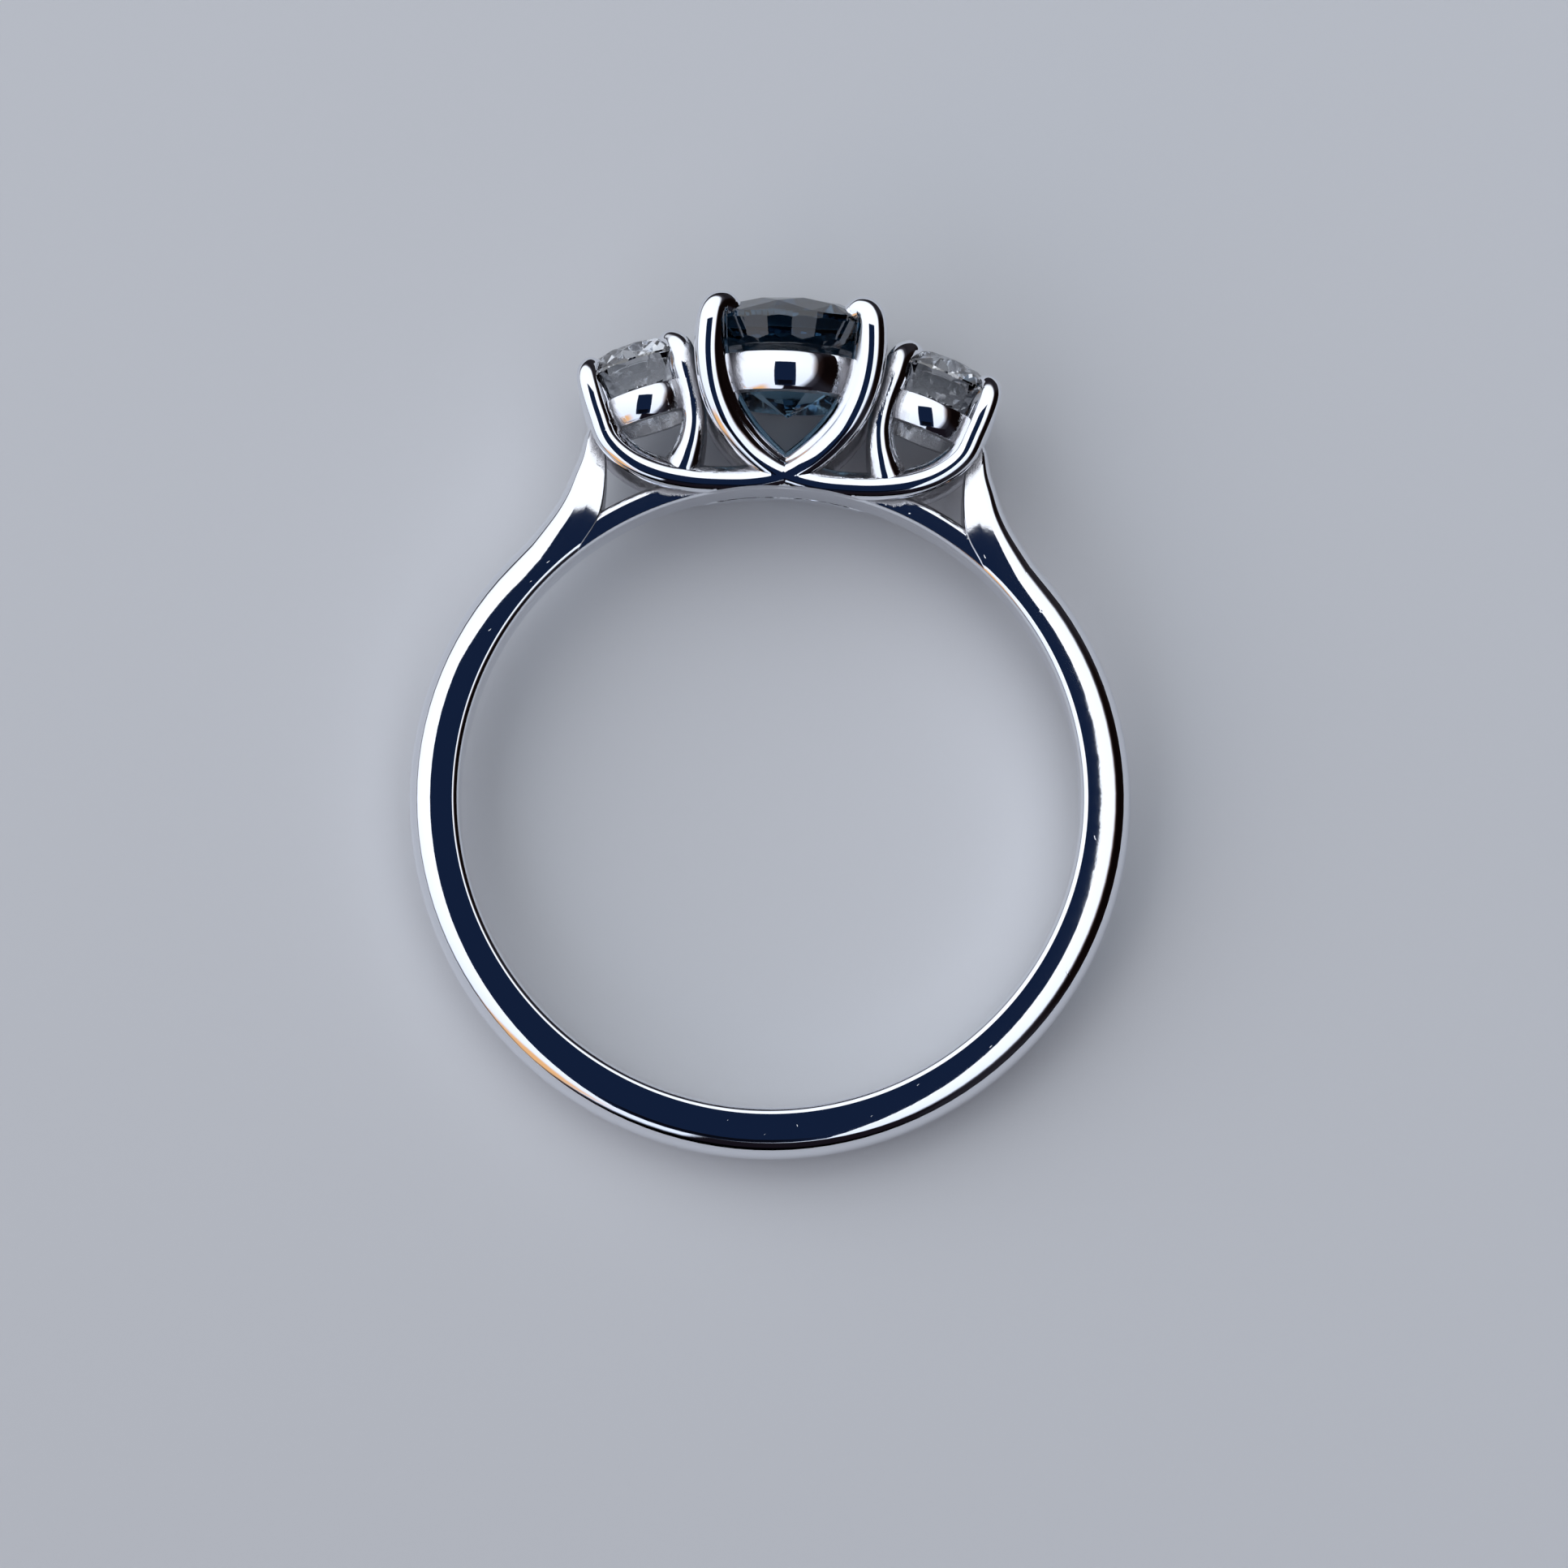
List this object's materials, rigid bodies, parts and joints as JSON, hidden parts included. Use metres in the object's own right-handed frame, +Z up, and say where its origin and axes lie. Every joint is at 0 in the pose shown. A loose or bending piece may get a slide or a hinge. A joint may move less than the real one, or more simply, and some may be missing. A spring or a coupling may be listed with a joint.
{
  "type": "three-stone ring",
  "caption": "Finger ring with a round dark blue sapphire between two round diamonds, held by crossing claws on a polished white band.",
  "frame": {"origin": "centre of the finger hole, midway through the shank's width", "axes": "+Y from the finger hole towards the stones, +X across to the right diamond, +Z up as the ring lies on its side. The finger's axis leans from +Z by the tilt at which the ring rests."},
  "size_m": [0.0192, 0.023, 0.005],
  "materials": {
    "white_gold": "mirror polished, rhodium plated",
    "sapphire": "polished facets",
    "diamond": "polished facets"
  },
  "bodies": {
    "root": {"band_and_setting": "white_gold", "centre_sapphire": "sapphire", "left_diamond": "diamond", "right_diamond": "diamond"}
  },
  "joints": []
}
